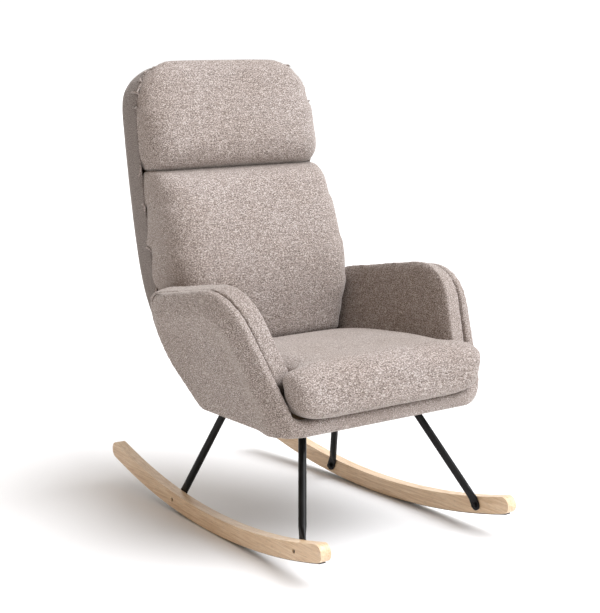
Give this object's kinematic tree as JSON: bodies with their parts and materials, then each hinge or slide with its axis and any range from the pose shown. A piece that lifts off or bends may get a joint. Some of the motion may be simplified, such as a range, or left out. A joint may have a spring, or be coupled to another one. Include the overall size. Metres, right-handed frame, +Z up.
{
  "type": "rocking chair",
  "caption": "Upholstered high-back tub rocking chair with padded arms, loose seat, back and headrest cushions, black steel tube legs and bent beech rockers.",
  "frame": {"origin": "on the floor, in the middle of the width and the length", "axes": "+Z up; -Y towards the front of the chair, where the sitter faces; node names ending in _left are on the -X side, which is the left as seen from the front"},
  "size_m": [0.6882, 0.9264, 1.0595],
  "materials": {
    "fabric": "matte",
    "beech": "satin",
    "plywood": "matte",
    "black_steel": "satin",
    "zinc": "satin",
    "black_cloth": "matte",
    "rubber": "matte",
    "webbing": "matte"
  },
  "bodies": {
    "root": {"arm_board_left": "plywood", "arm_board_right": "plywood", "arm_bolt_front_left": "zinc", "arm_bolt_front_right": "zinc", "arm_bolt_rear_left": "zinc", "arm_bolt_rear_right": "zinc", "arm_pad_left": "fabric", "arm_pad_right": "fabric", "arm_shell_left": "fabric", "arm_shell_right": "fabric", "back_board": "plywood", "back_cushion": "fabric", "back_shell": "fabric", "bolt_washer_front_left": "black_steel", "bolt_washer_front_right": "black_steel", "bolt_washer_rear_left": "black_steel", "bolt_washer_rear_right": "black_steel", "dust_cover": "black_cloth", "front_rail": "fabric", "glide_strip_left": "rubber", "glide_strip_right": "rubber", "headrest_cushion": "fabric", "leg_front_left": "black_steel", "leg_front_right": "black_steel", "leg_plate_front_left": "black_steel", "leg_plate_front_right": "black_steel", "leg_plate_rear_left": "black_steel", "leg_plate_rear_right": "black_steel", "leg_rear_left": "black_steel", "leg_rear_right": "black_steel", "leg_screw_front_left_1": "zinc", "leg_screw_front_left_2": "zinc", "leg_screw_front_right_1": "zinc", "leg_screw_front_right_2": "zinc", "leg_screw_rear_left_1": "zinc", "leg_screw_rear_left_2": "zinc", "leg_screw_rear_right_1": "zinc", "leg_screw_rear_right_2": "zinc", "rocker_bolt_front_left": "black_steel", "rocker_bolt_front_right": "black_steel", "rocker_bolt_rear_left": "black_steel", "rocker_bolt_rear_right": "black_steel", "rocker_left": "beech", "rocker_right": "beech", "seat_cushion": "fabric", "seat_rail_cross": "plywood", "seat_rail_front": "plywood", "seat_rail_left": "plywood", "seat_rail_rear": "plywood", "seat_rail_right": "plywood", "sleeve_nut_front_left": "black_steel", "sleeve_nut_front_right": "black_steel", "sleeve_nut_rear_left": "black_steel", "sleeve_nut_rear_right": "black_steel", "webbing_1": "webbing", "webbing_2": "webbing", "webbing_3": "webbing", "webbing_4": "webbing"}
  },
  "joints": []
}
